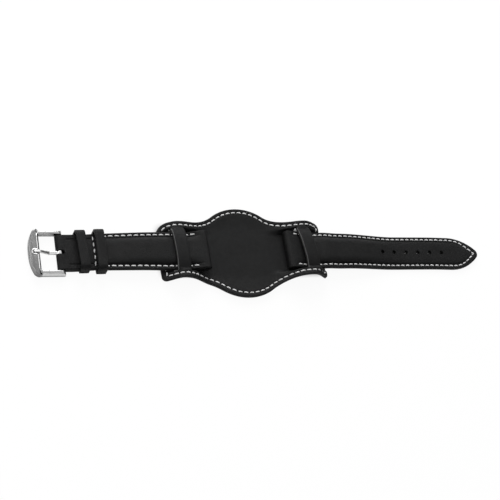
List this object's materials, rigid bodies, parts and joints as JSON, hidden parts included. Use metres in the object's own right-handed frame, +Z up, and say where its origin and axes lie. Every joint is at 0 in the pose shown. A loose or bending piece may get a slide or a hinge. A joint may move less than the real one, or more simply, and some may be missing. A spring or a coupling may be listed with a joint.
{
  "type": "leather watch strap with removable under-watch pad",
  "caption": "Two-piece leather watch strap with white stitching, pin buckle, keepers and a removable round leather pad that lies under the watch.",
  "frame": {"origin": "middle of the pad's underside, where it rests on the wrist or the table", "axes": "+X along the strap towards the tail's tip, +Y across the strap to the far side, +Z up out of the leather's face side"},
  "size_m": [0.2459, 0.048, 0.0108],
  "materials": {
    "pad_leather": "smooth matt black calf leather",
    "strap_leather": "black grained leather, padded, painted edges",
    "lining_leather": "matt black lining leather",
    "filler_board": "bonded leather board",
    "buckle_steel": "brushed steel with polished bevels",
    "bar_steel": "bright steel"
  },
  "bodies": {
    "pad": {"pad_top_leather": "pad_leather", "pad_lining": "lining_leather"},
    "short_strap": {"short_strap_top_leather": "strap_leather", "short_strap_filler": "filler_board", "short_strap_lining": "lining_leather", "fixed_keeper": "strap_leather"},
    "long_strap": {"long_strap_top_leather": "strap_leather", "long_strap_filler": "filler_board", "long_strap_lining": "lining_leather"},
    "free_keeper": {"free_keeper": "strap_leather"},
    "buckle": {"buckle_frame": "buckle_steel", "spring_bar_tube": "bar_steel", "spring_bar_spring": "bar_steel"},
    "tongue": {"buckle_tongue": "buckle_steel"},
    "far_tip": {"spring_bar_tip_far": "bar_steel"},
    "near_tip": {"spring_bar_tip_near": "bar_steel"}
  },
  "joints": [
    {"name": "short_strap_slide", "type": "slide", "parent": "pad", "child": "short_strap", "axis": [1, 0, 0], "range_m": [-0.003, 0.008]},
    {"name": "long_strap_slide", "type": "slide", "parent": "pad", "child": "long_strap", "axis": [-1, 0, 0], "range_m": [-0.0005, 0.0105]},
    {"name": "free_keeper_slide", "type": "slide", "parent": "short_strap", "child": "free_keeper", "axis": [0.999, 0, 0.0452], "range_m": [-0.0008, 0.012]},
    {"name": "buckle_hinge", "type": "hinge", "parent": "short_strap", "child": "buckle", "pos_m": [-0.09315, 0, 0.0019], "axis": [0, 1, 0], "range_deg": [-90, 20]},
    {"name": "tongue_hinge", "type": "hinge", "parent": "buckle", "child": "tongue", "pos_m": [-0.09315, 0, 0.0019], "axis": [0, 1, 0], "range_deg": [0, 70]},
    {"name": "far_tip_slide", "type": "slide", "parent": "buckle", "child": "far_tip", "axis": [0, -1, 0], "range_m": [0, 0.0012], "stiffness_N_per_m": 300, "springref_m": -0.001, "deforming": ["spring_bar_spring"]},
    {"name": "near_tip_slide", "type": "slide", "parent": "buckle", "child": "near_tip", "axis": [0, 1, 0], "range_m": [0, 0.0012], "stiffness_N_per_m": 300, "springref_m": -0.001, "deforming": ["spring_bar_spring"]}
  ]
}
